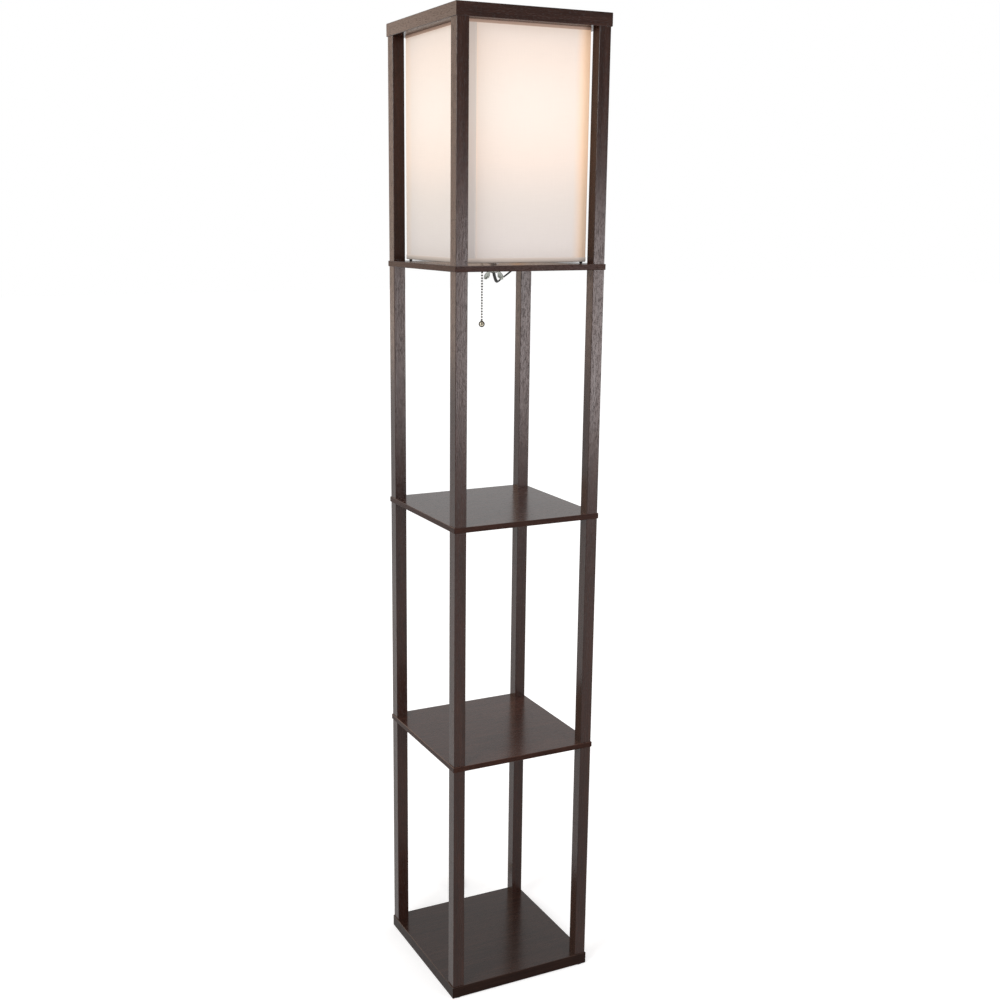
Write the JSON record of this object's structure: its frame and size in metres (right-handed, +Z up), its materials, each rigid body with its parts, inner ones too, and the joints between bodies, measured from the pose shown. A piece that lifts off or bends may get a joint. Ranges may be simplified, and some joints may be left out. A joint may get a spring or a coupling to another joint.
{
  "type": "shelf floor lamp",
  "caption": "Square floor lamp whose wooden posts carry open shelves, with a square fabric shade lit from inside above them and a pull chain below.",
  "frame": {"origin": "on the floor, under the middle of the lamp", "axes": "+X to the right along the front, +Y to the back, +Z up"},
  "size_m": [0.265, 0.3695, 1.5885],
  "materials": {
    "veneer": "satin",
    "beech": "matte",
    "black_rubber": "matte",
    "zinc_steel": "satin",
    "nickel": "satin",
    "shade_fabric": "matte",
    "hem_tape": "matte",
    "white_wire": "satin",
    "frosted_glass": "frosted",
    "aluminium": "satin",
    "brass_shell": "satin",
    "brass": "polished",
    "insulating_board": "matte",
    "moulded_black": "matte",
    "chain_knob": "polished",
    "cord_black": "matte"
  },
  "bodies": {
    "frame": {"base_board": "veneer", "base_bolts": "zinc_steel", "cable_clips": "moulded_black", "chain_guide": "brass_shell", "cord": "cord_black", "cord_bushing": "moulded_black", "cord_inside": "cord_black", "floor_pads": "black_rubber", "joint_studs": "zinc_steel", "lamp_shelf": "veneer", "lock_nut": "zinc_steel", "pipe_washers": "zinc_steel", "plug_blades": "brass", "plug_body": "cord_black", "post_lamp_back_left": "veneer", "post_lamp_back_right": "veneer", "post_lamp_front_left": "veneer", "post_lamp_front_right": "veneer", "post_lower_back_left": "veneer", "post_lower_back_right": "veneer", "post_lower_front_left": "veneer", "post_lower_front_right": "veneer", "post_middle_back_left": "veneer", "post_middle_back_right": "veneer", "post_middle_front_left": "veneer", "post_middle_front_right": "veneer", "post_upper_back_left": "veneer", "post_upper_back_right": "veneer", "post_upper_front_left": "veneer", "post_upper_front_right": "veneer", "shelf_lower": "veneer", "shelf_middle": "veneer", "socket_cap": "brass_shell", "socket_contact": "brass", "socket_core": "moulded_black", "socket_liner": "insulating_board", "socket_screw_shell": "aluminium", "socket_shell": "brass_shell", "threaded_inserts": "zinc_steel", "threaded_pipe": "zinc_steel", "top_dowels": "beech", "top_rail_back": "veneer", "top_rail_front": "veneer", "top_rail_left": "veneer", "top_rail_right": "veneer", "wing_nut": "nickel"},
    "shade": {"shade_wrap": "shade_fabric", "shade_hem_top": "hem_tape", "shade_hem_bottom": "hem_tape", "shade_wire_top": "white_wire", "shade_wire_bottom": "white_wire", "shade_feet": "black_rubber"},
    "bulb": {"bulb_glass": "frosted_glass", "bulb_cap": "aluminium"},
    "chain": {"pull_chain": "brass"},
    "tail": {"chain_tail": "brass", "chain_ball": "chain_knob"},
    "switch": {"switch_lever": "moulded_black"}
  },
  "joints": [
    {"name": "shade_lift", "type": "slide", "parent": "frame", "child": "shade", "axis": [0, 0, 1], "range_m": [0, 0.37]},
    {"name": "bulb_out", "type": "slide", "parent": "frame", "child": "bulb", "axis": [0, 0, 1], "range_m": [0, 0.025]},
    {"name": "chain_pull", "type": "slide", "parent": "frame", "child": "chain", "axis": [0, 0, -1], "range_m": [0, 0.006], "stiffness_N_per_m": 1500},
    {"name": "switch_turn", "type": "hinge", "parent": "frame", "child": "switch", "pos_m": [-0.01, 0, 1.341], "axis": [0, -1, 0], "range_deg": [0, 35]},
    {"name": "tail_swing", "type": "hinge", "parent": "chain", "child": "tail", "pos_m": [-0.021, 0, 1.209], "axis": [1, 0, 0], "range_deg": [-30, 30]}
  ],
  "couplings": [
    {"joint": "switch_turn", "follows": "chain_pull", "rad_per_m": 100}
  ]
}
